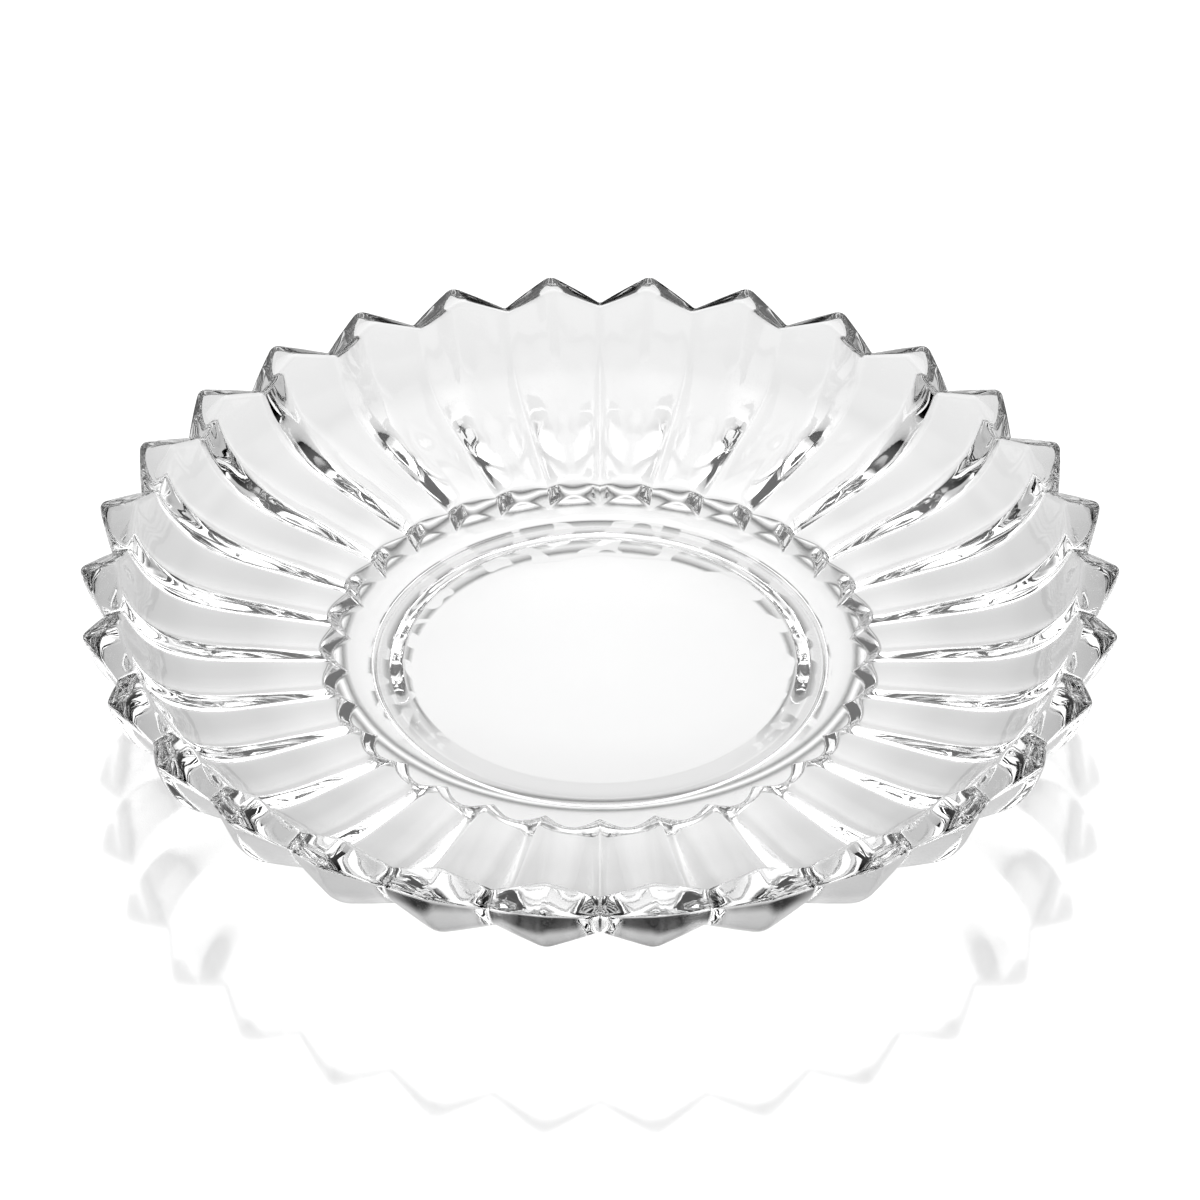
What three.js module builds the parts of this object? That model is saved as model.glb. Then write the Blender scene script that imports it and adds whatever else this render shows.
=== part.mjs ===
// Round serving plate in pressed crystal glass, one solid piece.
// The inside is a smooth dish. The underside is fluted: V grooves run in from the notches of the
// serrated rim, between ribs whose crests carry the rim's teeth, and end in steep points that cut
// into the edge of the thick base. The plate stands on a ring foot.
// Millimetres, +Z up. The origin is on the table under the plate's centre, with a rib crest on +X.

import * as THREE from 'three';

// Ribs
const RIB_COUNT = 30;
const CREST_SHARE = 0.12; // share of each rib flank that the rounded crest takes
const FLANK_SHARE = 0.5; // where a flank has its middle line, from groove to crest

// Rim
const TIP_RADIUS = 160; // from the axis to the tips of the teeth
const TIP_HEIGHT = 43.3; // from the table to the tips
const NOTCH_INSET = 7; // a notch lies this far inside the tips
const NOTCH_DROP = 6; // and this far below them
const TOOTH_LAND = 12; // width of the rim's top face on a tooth
const TOOTH_LAND_RISE = 2.4; // how far that face climbs inwards
const NOTCH_LAND = 6.5; // the same two sizes in a notch
const NOTCH_LAND_RISE = 2.5;
const TIP_STEEPNESS = 80; // slopes where the profiles leave the rim, in degrees
const NOTCH_STEEPNESS = 68;
const INSIDE_STEEPNESS = 68;

// Dish
const FLOOR_RADIUS = 40; // flat middle of the inside
const FLOOR_WALL = 8.3; // glass under that floor
const DISH_RISE = 6.5; // climb from the floor to the turn, where the wall bends up to the rim
const DISH_SLOPE = 6; // slope of the inside at the turn, in degrees
const TURN_SHARE = 0.38; // place of the turn between the ends of the ribs and the tips

// Ribs under the dish
const GROOVE_WALL = 4.2; // glass left over a groove at the turn
const GROOVE_DEPTH = 3.5; // depth of a groove below the crests at the turn
const GROOVE_SLOPE = 4; // slopes of the underside at the turn, in degrees
const CREST_SLOPE = 3;
const GROOVE_END_DEPTH = 1.6; // depth of a groove at its inner end

// Base and foot
const FOOT_RADIUS = 70.5; // outer edge of the ring that the plate stands on
const FOOT_WIDTH = 4;
const FOOT_HEIGHT = 3.5; // recess inside the ring
const FOOT_OUTER_DRAFT = 1; // how far the ring's sides lean
const FOOT_INNER_DRAFT = 5;
const BASE_HEIGHT = 3; // face outside the ring, above the table
const BASE_LEDGE = 8; // its width, from the ring to the points of the grooves
const POINT_DEPTH = 4.5; // how far the points cut into the base's edge
const STEP_HEIGHT = 7.1; // from that face up to the ends of the ribs
const CREST_STEP_DRAFT = 3.4; // how far the step leans out at a rib and at a groove
const GROOVE_STEP_DRAFT = 4.5;

// Share of a bend's chord that its handles take, at the end named
const RIM_FULLNESS = 0.37;
const TURN_FULLNESS = 0.53;
const DISH_FULLNESS = 0.3;

// Facets along the bends
const DISH_STEPS = 5;
const INSIDE_STEPS = 8;
const UNDERSIDE_STEPS = 9;

const GLASS = new THREE.MeshStandardMaterial({ color: 0xeef3f4, roughness: 0.03, metalness: 0 });

// Radii from the foot outwards
const ledgeStart = FOOT_RADIUS + FOOT_OUTER_DRAFT;
const grooveBaseRadius = ledgeStart + BASE_LEDGE;
const crestBaseRadius = grooveBaseRadius + POINT_DEPTH;
const grooveEndRadius = grooveBaseRadius + GROOVE_STEP_DRAFT;
const crestEndRadius = crestBaseRadius + CREST_STEP_DRAFT;
const turnRadius = THREE.MathUtils.lerp(crestEndRadius, TIP_RADIUS, TURN_SHARE);

// Heights from the table up
const floorHeight = FOOT_HEIGHT + FLOOR_WALL;
const dishTurnHeight = floorHeight + DISH_RISE;
const grooveTurnHeight = dishTurnHeight - GROOVE_WALL;
const crestTurnHeight = grooveTurnHeight - GROOVE_DEPTH;
const crestEndHeight = BASE_HEIGHT + STEP_HEIGHT;
const grooveEndHeight = crestEndHeight + GROOVE_END_DEPTH;

function point(radius, height) {
  return new THREE.Vector2(radius, height);
}

// A handle that leaves a point at a slope, for a share of the distance to the far end
function handle(start, slopeDegrees, length, outwards) {
  const slope = THREE.MathUtils.degToRad(slopeDegrees);
  const direction = outwards ? 1 : -1;
  return point(
    start.x + direction * length * Math.cos(slope),
    start.y + direction * length * Math.sin(slope),
  );
}

// A smooth bend from a point near the axis to one further out, with its slope given at both ends
function bend(near, nearSlope, nearFullness, far, farSlope, farFullness, steps) {
  const chord = near.distanceTo(far);
  const nearHandle = handle(near, nearSlope, chord * nearFullness, true);
  const farHandle = handle(far, farSlope, chord * farFullness, false);
  return new THREE.CubicBezierCurve(near, nearHandle, farHandle, far).getPoints(steps);
}

// Half section through a crest or a groove: from the middle of the floor out to the rim, down the
// underside to the foot and back to the axis. Both sections have the same number of points.
function section(rim, landWidth, landRise, steepness, turn, turnSlope, end, base) {
  const floorEdge = point(FLOOR_RADIUS, floorHeight);
  const dishTurn = point(turnRadius, dishTurnHeight);
  const rimInside = point(rim.x - landWidth, rim.y + landRise);
  const dish = bend(floorEdge, 0, DISH_FULLNESS, dishTurn, DISH_SLOPE, DISH_FULLNESS, DISH_STEPS);
  const inside = bend(
    dishTurn, DISH_SLOPE, TURN_FULLNESS,
    rimInside, INSIDE_STEEPNESS, RIM_FULLNESS,
    INSIDE_STEPS,
  );
  const underside = bend(
    turn, turnSlope, TURN_FULLNESS,
    rim, steepness, RIM_FULLNESS,
    UNDERSIDE_STEPS,
  );
  const footInside = FOOT_RADIUS - FOOT_WIDTH;
  return [
    point(0, floorHeight),
    ...dish,
    ...inside.slice(1),
    ...underside.reverse(),
    end,
    base,
    point(ledgeStart, BASE_HEIGHT),
    point(FOOT_RADIUS, 0),
    point(footInside, 0),
    point(footInside - FOOT_INNER_DRAFT, FOOT_HEIGHT),
    point(0, FOOT_HEIGHT),
  ];
}

// Share of the crest section in a meridian that lies a given share of the way up a flank.
// Flanks are straight and meet in the groove, and a parabola rounds the crest.
function crestWeight(share) {
  const straightRise = 1 / (1 - CREST_SHARE / 2);
  const fromCrest = (1 - share) / CREST_SHARE;
  if (fromCrest >= 1) {
    return share * straightRise;
  }
  return 1 - (CREST_SHARE / 2) * straightRise * fromCrest * fromCrest;
}

// One closed skin through meridians that turn from groove to crest and back, once for each rib
function loftRibs(grooveSection, crestSection) {
  const crestStart = 1 - CREST_SHARE;
  const flankMiddle = FLANK_SHARE * crestStart;
  const climb = [flankMiddle - 1, crestStart - 1, 0];
  const fall = [1 - crestStart, 1 - flankMiddle, 1];
  const turns = [...climb, ...fall];
  const halfPitch = Math.PI / RIB_COUNT;
  const last = crestSection.length - 1;
  const rows = last - 1;
  const positions = [0, 0, crestSection[0].y, 0, 0, crestSection[last].y];
  for (let rib = 0; rib < RIB_COUNT; rib += 1) {
    for (const turn of turns) {
      const angle = (2 * rib + turn) * halfPitch;
      const weight = crestWeight(1 - Math.abs(turn));
      for (let row = 1; row < last; row += 1) {
        const place = grooveSection[row].clone().lerp(crestSection[row], weight);
        positions.push(place.x * Math.cos(angle), place.x * Math.sin(angle), place.y);
      }
    }
  }
  const columns = RIB_COUNT * turns.length;
  const vertex = (column, row) => 2 + (column % columns) * rows + row;
  const triangles = [];
  for (let column = 0; column < columns; column += 1) {
    triangles.push(0, vertex(column, 0), vertex(column + 1, 0));
    for (let row = 0; row < rows - 1; row += 1) {
      const here = vertex(column, row);
      const next = vertex(column + 1, row);
      triangles.push(here, here + 1, next + 1, here, next + 1, next);
    }
    triangles.push(1, vertex(column + 1, rows - 1), vertex(column, rows - 1));
  }
  const skin = new THREE.BufferGeometry();
  skin.setAttribute('position', new THREE.Float32BufferAttribute(positions, 3));
  skin.setIndex(triangles);
  skin.computeVertexNormals();
  return skin;
}

const grooveSection = section(
  point(TIP_RADIUS - NOTCH_INSET, TIP_HEIGHT - NOTCH_DROP),
  NOTCH_LAND,
  NOTCH_LAND_RISE,
  NOTCH_STEEPNESS,
  point(turnRadius, grooveTurnHeight),
  GROOVE_SLOPE,
  point(grooveEndRadius, grooveEndHeight),
  point(grooveBaseRadius, BASE_HEIGHT),
);

const crestSection = section(
  point(TIP_RADIUS, TIP_HEIGHT),
  TOOTH_LAND,
  TOOTH_LAND_RISE,
  TIP_STEEPNESS,
  point(turnRadius, crestTurnHeight),
  CREST_SLOPE,
  point(crestEndRadius, crestEndHeight),
  point(crestBaseRadius, BASE_HEIGHT),
);

const plate = new THREE.Mesh(loftRibs(grooveSection, crestSection), GLASS);
plate.name = 'plate';

const servingPlate = new THREE.Group();
servingPlate.add(plate);

export default servingPlate;
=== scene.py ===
# Crystal serving plate on a pale studio floor.
# One piece of clear pressed glass: a smooth dish inside, V grooves and ribs on the underside,
# a serrated rim and a ring foot. Metres, +Z up, the plate standing on the floor at z = 0.

import math

import bmesh
import bpy
from mathutils import Matrix, Vector
from mathutils.geometry import interpolate_bezier


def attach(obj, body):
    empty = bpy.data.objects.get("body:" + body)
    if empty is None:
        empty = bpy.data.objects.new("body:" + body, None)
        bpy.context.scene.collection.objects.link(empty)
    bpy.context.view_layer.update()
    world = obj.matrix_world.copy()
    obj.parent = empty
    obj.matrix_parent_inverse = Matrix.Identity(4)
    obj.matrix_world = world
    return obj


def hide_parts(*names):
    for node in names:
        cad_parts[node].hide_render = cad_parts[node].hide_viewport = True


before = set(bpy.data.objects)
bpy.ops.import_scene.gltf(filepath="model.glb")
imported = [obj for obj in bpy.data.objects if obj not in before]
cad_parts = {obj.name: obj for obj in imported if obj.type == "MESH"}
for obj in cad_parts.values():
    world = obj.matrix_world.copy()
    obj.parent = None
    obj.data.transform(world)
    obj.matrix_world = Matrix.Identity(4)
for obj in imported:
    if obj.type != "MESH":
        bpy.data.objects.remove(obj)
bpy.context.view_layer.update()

MM = 0.001

# Ribs
RIB_COUNT = 30
# Share of a flank that the rounded crest takes, on a tooth and under the dish, and the groove's share
TOOTH_CREST_SHARE = 0.13
DISH_CREST_SHARE = 0.6
GROOVE_SHARE = 0.04
# Where crests start to swell, from the tips to the turn of the wall
SWELL_START = 2 / 7
HALF_PITCH = math.pi / RIB_COUNT
# Places of the meridians on a flank, from groove to crest
FLANK_STOPS = (0.0, 0.04, 0.25, 0.5, 0.74, 0.88, 0.925, 0.965, 1.0)

# Rim
TIP_RADIUS = 160 * MM
TIP_HEIGHT = 43.3 * MM
NOTCH_INSET = 7 * MM
NOTCH_DROP = 6 * MM
TOOTH_LAND = 12 * MM
TOOTH_LAND_RISE = 2.4 * MM
NOTCH_LAND = 6.5 * MM
NOTCH_LAND_RISE = 2.5 * MM
# Slopes where the profiles leave the rim, in degrees
TIP_STEEPNESS = 80
NOTCH_STEEPNESS = 68
INSIDE_STEEPNESS = 68

# Dish, with its slope at the turn in degrees and the turn's place between rib ends and tips
FLOOR_RADIUS = 40 * MM
FLOOR_WALL = 8.3 * MM
DISH_RISE = 6.5 * MM
DISH_SLOPE = 6
TURN_SHARE = 0.38

# Ribs under the dish, with the slopes of the underside at the turn in degrees
GROOVE_WALL = 4.2 * MM
GROOVE_DEPTH = 3.5 * MM
GROOVE_SLOPE = 4
CREST_SLOPE = 3
GROOVE_END_DEPTH = 1.6 * MM

# Base and foot
FOOT_RADIUS = 70.5 * MM
FOOT_WIDTH = 4 * MM
FOOT_HEIGHT = 3.5 * MM
FOOT_OUTER_DRAFT = 1 * MM
FOOT_INNER_DRAFT = 5 * MM
BASE_HEIGHT = 3 * MM
BASE_LEDGE = 8 * MM
POINT_DEPTH = 4.5 * MM
STEP_HEIGHT = 7.1 * MM
CREST_STEP_DRAFT = 3.4 * MM
GROOVE_STEP_DRAFT = 4.5 * MM

# Share of a bend's chord that its handles take
RIM_FULLNESS = 0.37
TURN_FULLNESS = 0.53
DISH_FULLNESS = 0.3

# Polished roundings of the edges, measured along the faces
RIM_INSIDE_ROUNDING = 1.6 * MM
RIM_OUTSIDE_ROUNDING = 1.3 * MM
STEP_TOP_ROUNDING = 0.8 * MM
STEP_FOOT_ROUNDING = 0.7 * MM
FOOT_ROUNDING = 0.7 * MM
CORNER_STEPS = 6
CORNER_FULLNESS = 0.55

# Points along the bends and the straight faces of a section
DISH_STEPS = 12
INSIDE_STEPS = 24
UNDERSIDE_STEPS = 30
LAND_STEPS = 4
RIB_STEPS = 9
STEP_STEPS = 5
LEDGE_STEPS = 4
FOOT_SIDE_STEPS = 2
FOOT_FACE_STEPS = 3
RECESS_STEPS = 3
MERGE_DISTANCE = 0.001 * MM

# The glass: faint waves all over, ripples added on the teeth, a worn contact face
GLASS_INDEX = 1.52
WAVE_SCALE = 55
WAVE_HEIGHT = 0.12 * MM
RIPPLE_SCALE = 110
RIPPLE_HEIGHT = 0.14 * MM
RIPPLE_START = 142 * MM
RIPPLE_FULL = 152 * MM
WEAR_HEIGHT = 0.2 * MM
WEAR_SCALE = 900
WEAR_ROUGHNESS = 0.14

# The open floor as the camera sees it: it glows nearly white and has a sheen
FLOOR_HALF_WIDTH = 8
FLOOR_GREY = (0.06, 0.06, 0.06, 1)
FLOOR_ROUGHNESS = 0.1
FLOOR_INDEX = 2.4
FLOOR_LIGHT = 0.7
WHITE = (1, 1, 1, 1)

# Painted shade on the floor under the plate, by distance from its middle as a share of its reach. The
# two dark rings with a bright one between them are a painted shadow of the base's edge and painted
# light that the edge gathers. They fall a little to the back and are wider sideways. Far off the floor
# is painted dark, as a room.
FLOOR_SHADE_REACH = 0.4
PAINTED_FLOOR_SHADE = (
    (0, 0.75),
    (0.18, 0.69),
    (0.1875, 0.6),
    (0.189, 0.03),
    (0.1925, 0.03),
    (0.1935, 0.9),
    (0.1955, 0.9),
    (0.1965, 0.03),
    (0.2, 0.03),
    (0.2035, 0.66),
    (0.23, 0.67),
    (0.26, 0.57),
    (0.295, 0.57),
    (0.375, 0.61),
    (0.5, 0.66),
    (0.725, 0.62),
    (0.85, 0.03),
)
SHADE_SHIFT = 8 * MM
SHADE_NARROWING = 0.94
# Thin lines of painted shadow on the floor under the edges of the foot, broken by painted light from
# the ribs
FOOT_SHADOW_WIDTH = 1 * MM
FOOT_SHADOW_BLUR = 0.8 * MM
FOOT_SHADOW_LEVEL = 0.05
FOOT_SHADOW_FRONT = -45 * MM
FOOT_SHADOW_BACK = -15 * MM
BREAK_SCALE = 120
BREAK_START = 0.5
BREAK_FULL = 0.56
# Painted light, standing for the wall's, makes the floor brighter towards the back; painted shade is
# darkest under the front rim
GLOW_START = 10 * MM
GLOW_END = 135 * MM
GLOW_LEVEL = 1.42
FRONT_START = -138 * MM
FRONT_END = -125 * MM
FRONT_LEVEL = 0.05

# Brightness of the studio by height, from the horizon to straight up
WALL_BRIGHTNESS = ((0, 0.5), (0.2, 1.1), (0.4, 1.4), (0.7, 1.4), (1, 0.1))
CARD_BRIGHTNESS = ((0.3, 0), (0.4, 0.55), (0.7, 0.55), (0.8, 0))
# Where each light starts and where it is full: backwards, sideways and by closeness to the soft box
WALL_START = 0.08
WALL_FULL = 0.4
CARD_START = 0.62
CARD_FULL = 0.8
SOFT_BOX_START = 0.7
SOFT_BOX_FULL = 1
SOFT_BOX_DIRECTION = (0, 0.5, 0.866)
SOFT_BOX_BRIGHTNESS = 1.6
# Light that turns more often inside the glass counts as lost, which gives the edges their dark lines
LIGHT_BOUNCES = 8

# Camera, fitted to the tips of the teeth in the photo. Sensor and lens are in millimetres. The width of
# the photo and the offset of the rim's centre from its middle are in pixels.
ELEVATION = math.radians(37.8)
DISTANCE = 1.4688
SENSOR_WIDTH = 36
LENS = 143.3
PHOTO_WIDTH = 1200
RIM_CENTRE_OFFSET = 31.3
FRAME_TILT = math.atan(RIM_CENTRE_OFFSET / (LENS / SENSOR_WIDTH * PHOTO_WIDTH))


def section_point(radius, height):
    return Vector((radius, 0, height))


def slope_vector(degrees):
    angle = math.radians(degrees)
    return Vector((math.cos(angle), 0, math.sin(angle)))


def bend(near, near_slope, near_fullness, far, far_slope, far_fullness, steps):
    """Points of a smooth bend from a point near the axis to one further out."""
    chord = (far - near).length
    near_handle = near + slope_vector(near_slope) * chord * near_fullness
    far_handle = far - slope_vector(far_slope) * chord * far_fullness
    return interpolate_bezier(near, near_handle, far_handle, far, steps + 1)


def straight(start, end, steps):
    """Points from start towards end, without either end."""
    return [start.lerp(end, step / steps) for step in range(1, steps)]


def corner(before, here, after, size):
    """Points of a rounded corner that leaves each of its two sides at the given distance."""
    start = here + (before - here).normalized() * size
    end = here + (after - here).normalized() * size
    start_handle = start.lerp(here, CORNER_FULLNESS)
    end_handle = end.lerp(here, CORNER_FULLNESS)
    return interpolate_bezier(start, start_handle, end_handle, end, CORNER_STEPS)


# Radii from the foot outwards, then heights from the table up
ledge_start = FOOT_RADIUS + FOOT_OUTER_DRAFT
foot_inside_radius = FOOT_RADIUS - FOOT_WIDTH
recess_radius = foot_inside_radius - FOOT_INNER_DRAFT
groove_base_radius = ledge_start + BASE_LEDGE
crest_base_radius = groove_base_radius + POINT_DEPTH
groove_end_radius = groove_base_radius + GROOVE_STEP_DRAFT
crest_end_radius = crest_base_radius + CREST_STEP_DRAFT
turn_radius = crest_end_radius + (TIP_RADIUS - crest_end_radius) * TURN_SHARE
floor_height = FOOT_HEIGHT + FLOOR_WALL
dish_turn_height = floor_height + DISH_RISE
groove_turn_height = dish_turn_height - GROOVE_WALL
crest_turn_height = groove_turn_height - GROOVE_DEPTH
crest_end_height = BASE_HEIGHT + STEP_HEIGHT
groove_end_height = crest_end_height + GROOVE_END_DEPTH


def section(rim, land_width, land_rise, steepness, turn, turn_slope, end, base):
    """Half section from the middle of the floor to the rim and back under the plate to the axis."""
    floor_edge = section_point(FLOOR_RADIUS, floor_height)
    dish_turn = section_point(turn_radius, dish_turn_height)
    rim_inside = section_point(rim.x - land_width, rim.z + land_rise)
    ledge = section_point(ledge_start, BASE_HEIGHT)
    foot_outside = section_point(FOOT_RADIUS, 0)
    foot_inside = section_point(foot_inside_radius, 0)
    recess_edge = section_point(recess_radius, FOOT_HEIGHT)
    centre = section_point(0, FOOT_HEIGHT)
    dish = bend(
        floor_edge, 0, DISH_FULLNESS,
        dish_turn, DISH_SLOPE, DISH_FULLNESS,
        DISH_STEPS,
    )
    inside = bend(
        dish_turn, DISH_SLOPE, TURN_FULLNESS,
        rim_inside, INSIDE_STEEPNESS, RIM_FULLNESS,
        INSIDE_STEPS,
    )
    underside = bend(
        turn, turn_slope, TURN_FULLNESS,
        rim, steepness, RIM_FULLNESS,
        UNDERSIDE_STEPS,
    )
    underside.reverse()
    rim_inner_corner = corner(inside[-2], rim_inside, rim, RIM_INSIDE_ROUNDING)
    rim_outer_corner = corner(rim_inside, rim, underside[1], RIM_OUTSIDE_ROUNDING)
    step_top = corner(turn, end, base, STEP_TOP_ROUNDING)
    step_foot = corner(end, base, ledge, STEP_FOOT_ROUNDING)
    ledge_corner = corner(base, ledge, foot_outside, FOOT_ROUNDING)
    foot_outer_corner = corner(ledge, foot_outside, foot_inside, FOOT_ROUNDING)
    foot_inner_corner = corner(foot_outside, foot_inside, recess_edge, FOOT_ROUNDING)
    recess_corner = corner(foot_inside, recess_edge, centre, FOOT_ROUNDING)
    points = [section_point(0, floor_height), section_point(FLOOR_RADIUS / 2, floor_height)]
    points += dish
    points += inside[1:-1]
    points += rim_inner_corner
    points += straight(rim_inner_corner[-1], rim_outer_corner[0], LAND_STEPS)
    points += rim_outer_corner
    points += underside[1:]
    points += straight(turn, step_top[0], RIB_STEPS)
    points += step_top
    points += straight(step_top[-1], step_foot[0], STEP_STEPS)
    points += step_foot
    points += straight(step_foot[-1], ledge_corner[0], LEDGE_STEPS)
    points += ledge_corner
    points += straight(ledge_corner[-1], foot_outer_corner[0], FOOT_SIDE_STEPS)
    points += foot_outer_corner
    points += straight(foot_outer_corner[-1], foot_inner_corner[0], FOOT_FACE_STEPS)
    points += foot_inner_corner
    points += straight(foot_inner_corner[-1], recess_corner[0], RECESS_STEPS)
    points += recess_corner
    points += [recess_edge.lerp(centre, 0.5), centre]
    return points


def crest_weight(share, crest_share):
    """Share of the crest's section at a place on a flank, from 0 in the groove to 1 on the crest."""
    rise = 1 / (1 - crest_share / 2 - GROOVE_SHARE / 2)
    from_crest = (1 - share) / crest_share
    if from_crest < 1:
        return 1 - crest_share / 2 * rise * from_crest * from_crest
    from_groove = share / GROOVE_SHARE
    if from_groove < 1:
        return GROOVE_SHARE / 2 * rise * from_groove * from_groove
    return (share - GROOVE_SHARE / 2) * rise


def crest_rounding(place):
    """Crests are crisp on the teeth and swell into broad ribs on the way down to the dish."""
    below_rim = (TIP_RADIUS - place.x) / (TIP_RADIUS - turn_radius)
    swell = (below_rim - SWELL_START) / (1 - SWELL_START)
    return TOOTH_CREST_SHARE + (DISH_CREST_SHARE - TOOTH_CREST_SHARE) * min(1, max(0, swell))


def flute(rib, radial, vertical, rounding):
    """Moves the vertices of a plain turned wedge out to their places on a rib."""
    stops = len(FLANK_STOPS) - 1
    for vertex in rib.verts:
        turn = math.atan2(vertex.co.y, vertex.co.x) / HALF_PITCH
        share = FLANK_STOPS[round((1 - abs(turn)) * stops)]
        weight = crest_weight(share, vertex[rounding])
        angle = HALF_PITCH * math.copysign(1 - share, turn)
        radius = math.hypot(vertex.co.x, vertex.co.y) + weight * vertex[radial]
        height = vertex.co.z + weight * vertex[vertical]
        vertex.co = Vector((radius * math.cos(angle), radius * math.sin(angle), height))


def make_plate():
    """Turns one rib's section into a wedge, flutes it and repeats it around the axis."""
    groove = section(
        section_point(TIP_RADIUS - NOTCH_INSET, TIP_HEIGHT - NOTCH_DROP),
        NOTCH_LAND,
        NOTCH_LAND_RISE,
        NOTCH_STEEPNESS,
        section_point(turn_radius, groove_turn_height),
        GROOVE_SLOPE,
        section_point(groove_end_radius, groove_end_height),
        section_point(groove_base_radius, BASE_HEIGHT),
    )
    crest = section(
        section_point(TIP_RADIUS, TIP_HEIGHT),
        TOOTH_LAND,
        TOOTH_LAND_RISE,
        TIP_STEEPNESS,
        section_point(turn_radius, crest_turn_height),
        CREST_SLOPE,
        section_point(crest_end_radius, crest_end_height),
        section_point(crest_base_radius, BASE_HEIGHT),
    )
    body = bmesh.new()
    # What each vertex needs for its place on a rib: the way from groove to crest and the rounding
    radial = body.verts.layers.float.new("radial")
    vertical = body.verts.layers.float.new("vertical")
    rounding = body.verts.layers.float.new("rounding")
    line = []
    for low, high in zip(groove, crest):
        vertex = body.verts.new(low)
        vertex[radial] = high.x - low.x
        vertex[vertical] = high.z - low.z
        vertex[rounding] = crest_rounding(high)
        line.append(vertex)
    edges = [body.edges.new(pair) for pair in zip(line, line[1:])]
    turn_about_axis = {"cent": (0, 0, 0), "axis": (0, 0, 1), "dvec": (0, 0, 0)}
    to_groove = Matrix.Rotation(-HALF_PITCH, 3, "Z")
    bmesh.ops.rotate(body, verts=line, cent=(0, 0, 0), matrix=to_groove)
    bmesh.ops.spin(
        body,
        geom=line + edges,
        angle=2 * HALF_PITCH,
        steps=2 * (len(FLANK_STOPS) - 1),
        use_merge=False,
        use_normal_flip=False,
        use_duplicate=False,
        **turn_about_axis,
    )
    flute(body, radial, vertical, rounding)
    bmesh.ops.spin(
        body,
        geom=body.verts[:] + body.edges[:] + body.faces[:],
        angle=2 * HALF_PITCH * (RIB_COUNT - 1),
        steps=RIB_COUNT - 1,
        use_merge=False,
        use_normal_flip=False,
        use_duplicate=True,
        **turn_about_axis,
    )
    bmesh.ops.remove_doubles(body, verts=body.verts, dist=MERGE_DISTANCE)
    bmesh.ops.recalc_face_normals(body, faces=body.faces)
    for face in body.faces:
        face.smooth = True
    mesh = bpy.data.meshes.new("plate_glass")
    body.to_mesh(mesh)
    body.free()
    piece = bpy.data.objects.new("plate_glass", mesh)
    bpy.context.collection.objects.link(piece)
    return piece


def add_node(tree, kind, **settings):
    """A new shader node with the settings given."""
    node = tree.nodes.new(kind)
    for name, value in settings.items():
        setattr(node, name, value)
    return node


def ramp(tree, value, stops):
    """Shades of grey along a value, given as places and levels."""
    node = add_node(tree, "ShaderNodeValToRGB")
    elements = node.color_ramp.elements
    for index, (place, level) in enumerate(stops):
        element = elements[index] if index < 2 else elements.new(place)
        element.position = place
        element.color = (level, level, level, 1)
    tree.links.new(value, node.inputs["Fac"])
    return node.outputs["Color"]


def soft_step(tree, value, start, end, level, low=0):
    """Climbs smoothly from a low level at the start to the full one at the end."""
    node = add_node(tree, "ShaderNodeMapRange", interpolation_type="SMOOTHSTEP")
    node.inputs["From Min"].default_value = start
    node.inputs["From Max"].default_value = end
    node.inputs["To Min"].default_value = low
    node.inputs["To Max"].default_value = level
    tree.links.new(value, node.inputs["Value"])
    return node.outputs["Result"]


def combine(tree, operation, first, second):
    """Two values joined by a sum, a product or the like."""
    node = add_node(tree, "ShaderNodeMath", operation=operation)
    tree.links.new(first, node.inputs[0])
    tree.links.new(second, node.inputs[1])
    return node.outputs["Value"]


def noise(tree, place, scale):
    """Smooth noise without fine detail."""
    node = add_node(tree, "ShaderNodeTexNoise")
    node.inputs["Scale"].default_value = scale
    node.inputs["Detail"].default_value = 0
    tree.links.new(place, node.inputs["Vector"])
    return node.outputs["Fac"]


def painted_foot_shadows():
    """Stops for the floor's ramp, with a line of painted shadow under each edge of the foot."""
    stops = [(0, 1)]
    for radius in (recess_radius, foot_inside_radius, ledge_start):
        near = radius - FOOT_SHADOW_WIDTH / 2
        far = radius + FOOT_SHADOW_WIDTH / 2
        stops.append((near - FOOT_SHADOW_BLUR, 1))
        stops.append((near, FOOT_SHADOW_LEVEL))
        stops.append((far, FOOT_SHADOW_LEVEL))
        stops.append((far + FOOT_SHADOW_BLUR, 1))
    return [(radius / FLOOR_SHADE_REACH, level) for radius, level in stops]


def share_of_reach(tree, place):
    """Distance of a place from the middle of the floor, as a share of the shade's reach."""
    distance = add_node(tree, "ShaderNodeVectorMath", operation="LENGTH")
    tree.links.new(place, distance.inputs["Vector"])
    share = add_node(tree, "ShaderNodeMath", operation="DIVIDE")
    share.inputs[1].default_value = FLOOR_SHADE_REACH
    tree.links.new(distance.outputs["Value"], share.inputs[0])
    return share.outputs["Value"]


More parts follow.
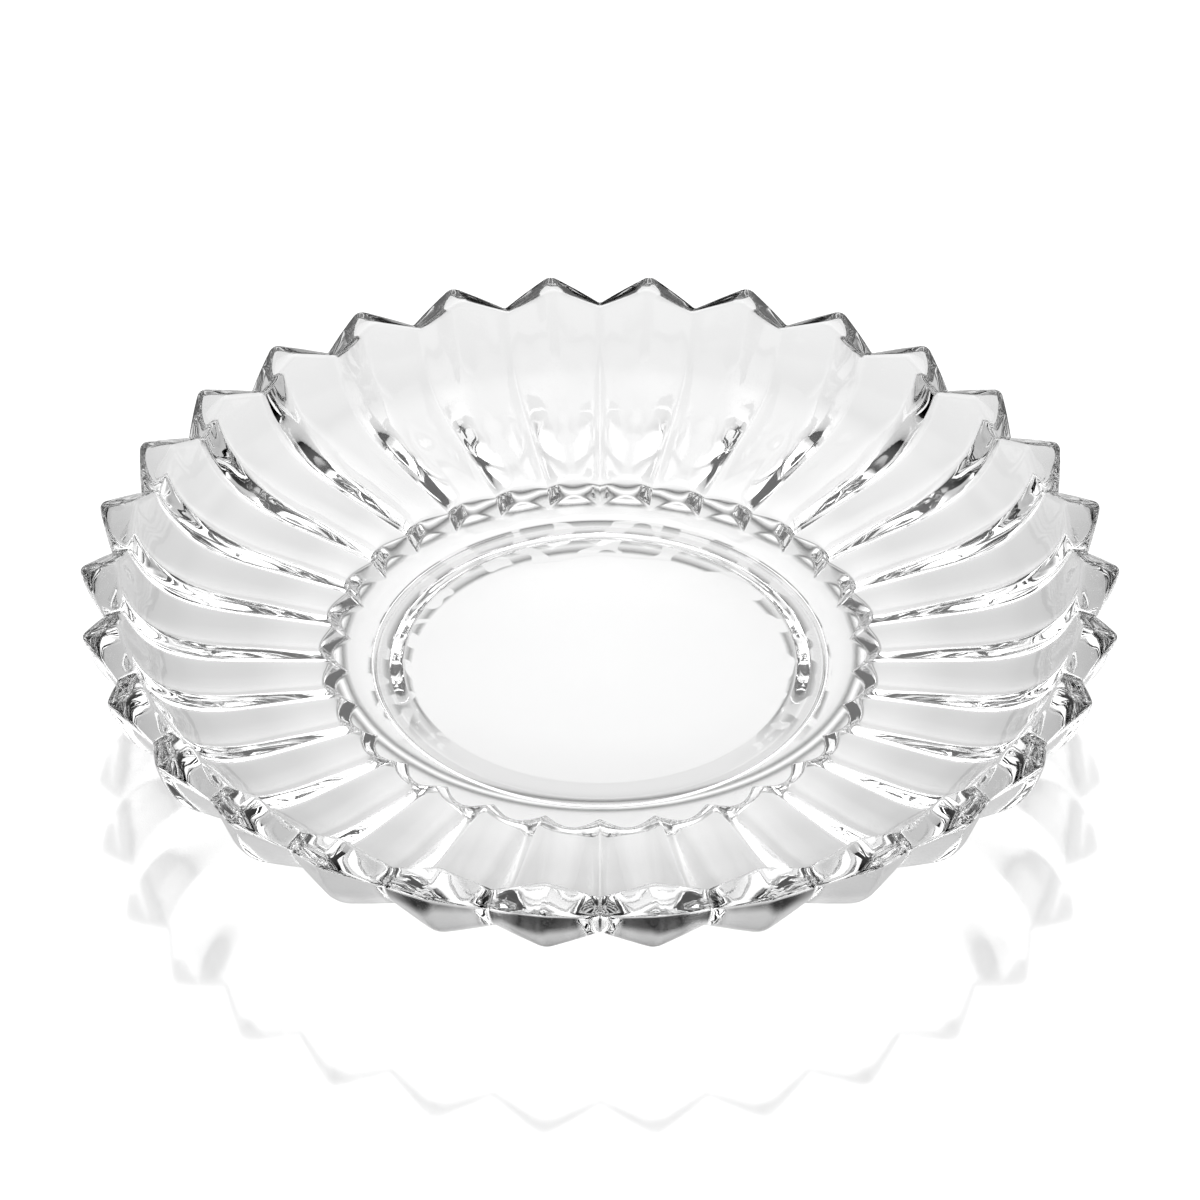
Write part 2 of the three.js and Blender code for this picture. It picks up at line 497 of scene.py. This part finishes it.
def clear_glass():
    """Polished clear glass with faint waves, ripples on the teeth and wear under the foot."""
    material = bpy.data.materials.new("clear_glass")
    material.use_nodes = True
    tree = material.node_tree
    shader = tree.nodes["Principled BSDF"]
    shader.inputs["Base Color"].default_value = WHITE
    shader.inputs["IOR"].default_value = GLASS_INDEX
    shader.inputs["Transmission Weight"].default_value = 1
    place = add_node(tree, "ShaderNodeTexCoord").outputs["Object"]
    split = add_node(tree, "ShaderNodeSeparateXYZ")
    tree.links.new(place, split.inputs["Vector"])
    flat_place = add_node(tree, "ShaderNodeVectorMath", operation="MULTIPLY")
    flat_place.inputs[1].default_value = (1, 1, 0)
    tree.links.new(place, flat_place.inputs[0])
    radius = add_node(tree, "ShaderNodeVectorMath", operation="LENGTH")
    tree.links.new(flat_place.outputs["Vector"], radius.inputs["Vector"])
    wave_height = add_node(tree, "ShaderNodeMath", operation="MULTIPLY")
    wave_height.inputs[1].default_value = WAVE_HEIGHT
    tree.links.new(noise(tree, place, WAVE_SCALE), wave_height.inputs[0])
    on_teeth = soft_step(tree, radius.outputs["Value"], RIPPLE_START, RIPPLE_FULL, RIPPLE_HEIGHT)
    ripples = combine(tree, "MULTIPLY", noise(tree, place, RIPPLE_SCALE), on_teeth)
    surface = combine(tree, "ADD", wave_height.outputs["Value"], ripples)
    bump = add_node(tree, "ShaderNodeBump")
    bump.inputs["Distance"].default_value = 1
    tree.links.new(surface, bump.inputs["Height"])
    tree.links.new(bump.outputs["Normal"], shader.inputs["Normal"])
    contact = soft_step(tree, split.outputs["Z"], WEAR_HEIGHT, 0, WEAR_ROUGHNESS)
    wear = combine(tree, "MULTIPLY", contact, noise(tree, place, WEAR_SCALE))
    tree.links.new(wear, shader.inputs["Roughness"])
    return material


def painted_shade_floor(tree):
    """The floor as the glass sees it, all painted: shade under the plate, light towards the back and a
    dark room further off.
    """
    place = add_node(tree, "ShaderNodeTexCoord").outputs["Object"]
    shade_place = add_node(tree, "ShaderNodeMapping")
    shade_place.inputs["Location"].default_value = (0, -SHADE_SHIFT, 0)
    shade_place.inputs["Scale"].default_value = (SHADE_NARROWING, 1, 1)
    tree.links.new(place, shade_place.inputs["Vector"])
    # Painted shade and painted light under the plate, and a painted dark room further off
    shade = ramp(tree, share_of_reach(tree, shade_place.outputs["Vector"]), PAINTED_FLOOR_SHADE)
    split = add_node(tree, "ShaderNodeSeparateXYZ")
    tree.links.new(place, split.inputs["Vector"])
    backwards = split.outputs["Y"]
    # Painted light towards the back and painted shade under the front rim
    painted_glow = soft_step(tree, backwards, GLOW_START, GLOW_END, GLOW_LEVEL, 1)
    front = soft_step(tree, backwards, FRONT_START, FRONT_END, 1, FRONT_LEVEL)
    # Painted shadow lines under the foot's edges, broken by patches of painted light
    shadow_lines = ramp(tree, share_of_reach(tree, place), painted_foot_shadows())
    painted_light_breaks = soft_step(tree, noise(tree, place, BREAK_SCALE), BREAK_START, BREAK_FULL, 1)
    no_lines = soft_step(tree, backwards, FOOT_SHADOW_BACK, FOOT_SHADOW_FRONT, 1)
    gaps = combine(tree, "MAXIMUM", painted_light_breaks, no_lines)
    broken_shadow_lines = combine(tree, "MAXIMUM", shadow_lines, gaps)
    level = combine(tree, "MULTIPLY", combine(tree, "MULTIPLY", painted_glow, front), broken_shadow_lines)
    # The painted light and shade glow: the floor gives off this light itself
    emission = add_node(tree, "ShaderNodeEmission")
    tree.links.new(shade, emission.inputs["Color"])
    tree.links.new(level, emission.inputs["Strength"])
    return emission.outputs["Emission"]


def floor_material():
    """White with a sheen to the camera; to the glass it shows painted light and shade."""
    material = bpy.data.materials.new("pale_floor")
    material.use_nodes = True
    tree = material.node_tree
    open_floor = tree.nodes["Principled BSDF"]
    open_floor.inputs["Base Color"].default_value = FLOOR_GREY
    open_floor.inputs["Roughness"].default_value = FLOOR_ROUGHNESS
    open_floor.inputs["IOR"].default_value = FLOOR_INDEX
    open_floor.inputs["Emission Color"].default_value = WHITE
    open_floor.inputs["Emission Strength"].default_value = FLOOR_LIGHT
    seen_directly = add_node(tree, "ShaderNodeLightPath").outputs["Is Camera Ray"]
    either = add_node(tree, "ShaderNodeMixShader")
    tree.links.new(seen_directly, either.inputs[0])
    tree.links.new(painted_shade_floor(tree), either.inputs[1])
    tree.links.new(open_floor.outputs["BSDF"], either.inputs[2])
    output = tree.nodes["Material Output"]
    tree.links.new(either.outputs["Shader"], output.inputs["Surface"])
    return material


def make_floor():
    """A wide flat floor at the height of the table."""
    shape = bmesh.new()
    bmesh.ops.create_grid(shape, x_segments=1, y_segments=1, size=FLOOR_HALF_WIDTH)
    mesh = bpy.data.meshes.new("floor")
    shape.to_mesh(mesh)
    shape.free()
    piece = bpy.data.objects.new("floor", mesh)
    bpy.context.collection.objects.link(piece)
    return piece


def studio_world():
    """A bright wall behind the plate, a soft box high above it, two side cards and a dark room."""
    world = bpy.data.worlds.new("studio")
    world.use_nodes = True
    sky = world.node_tree
    direction = add_node(sky, "ShaderNodeTexCoord").outputs["Generated"]
    split = add_node(sky, "ShaderNodeSeparateXYZ")
    sky.links.new(direction, split.inputs["Vector"])
    height = split.outputs["Z"]
    sideways = add_node(sky, "ShaderNodeMath", operation="ABSOLUTE")
    sky.links.new(split.outputs["X"], sideways.inputs[0])
    towards_box = add_node(sky, "ShaderNodeVectorMath", operation="DOT_PRODUCT")
    sky.links.new(direction, towards_box.inputs[0])
    towards_box.inputs[1].default_value = SOFT_BOX_DIRECTION
    closeness = towards_box.outputs["Value"]
    wall_reach = soft_step(sky, split.outputs["Y"], WALL_START, WALL_FULL, 1)
    wall = combine(sky, "MULTIPLY", wall_reach, ramp(sky, height, WALL_BRIGHTNESS))
    soft_box = soft_step(sky, closeness, SOFT_BOX_START, SOFT_BOX_FULL, SOFT_BOX_BRIGHTNESS)
    card_reach = soft_step(sky, sideways.outputs["Value"], CARD_START, CARD_FULL, 1)
    cards = combine(sky, "MULTIPLY", card_reach, ramp(sky, height, CARD_BRIGHTNESS))
    studio = combine(sky, "ADD", combine(sky, "ADD", wall, soft_box), cards)
    # The camera itself sees a white background
    seen_directly = add_node(sky, "ShaderNodeLightPath").outputs["Is Camera Ray"]
    background = sky.nodes["Background"]
    background.inputs["Color"].default_value = WHITE
    light = combine(sky, "MAXIMUM", studio, seen_directly)
    sky.links.new(light, background.inputs["Strength"])
    return world


def make_camera():
    """The photo's camera, in front of the plate and above it."""
    lens = bpy.data.cameras.new("camera")
    lens.sensor_width = SENSOR_WIDTH
    lens.lens = LENS
    camera = bpy.data.objects.new("camera", lens)
    bpy.context.collection.objects.link(camera)
    rim_centre = Vector((0, 0, TIP_HEIGHT))
    towards_camera = Vector((0, -math.cos(ELEVATION), math.sin(ELEVATION)))
    camera.location = rim_centre + towards_camera * DISTANCE
    camera.rotation_euler = (math.pi / 2 - ELEVATION - FRAME_TILT, 0, 0)
    return camera


plate = make_plate()
plate.data.materials.append(clear_glass())
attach(plate, "root")
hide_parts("plate")

floor = make_floor()
floor.data.materials.append(floor_material())

scene = bpy.context.scene
scene.world = studio_world()
scene.camera = make_camera()
scene.view_settings.view_transform = "Standard"
scene.cycles.max_bounces = LIGHT_BOUNCES
scene.cycles.transmission_bounces = LIGHT_BOUNCES
scene.cycles.glossy_bounces = LIGHT_BOUNCES
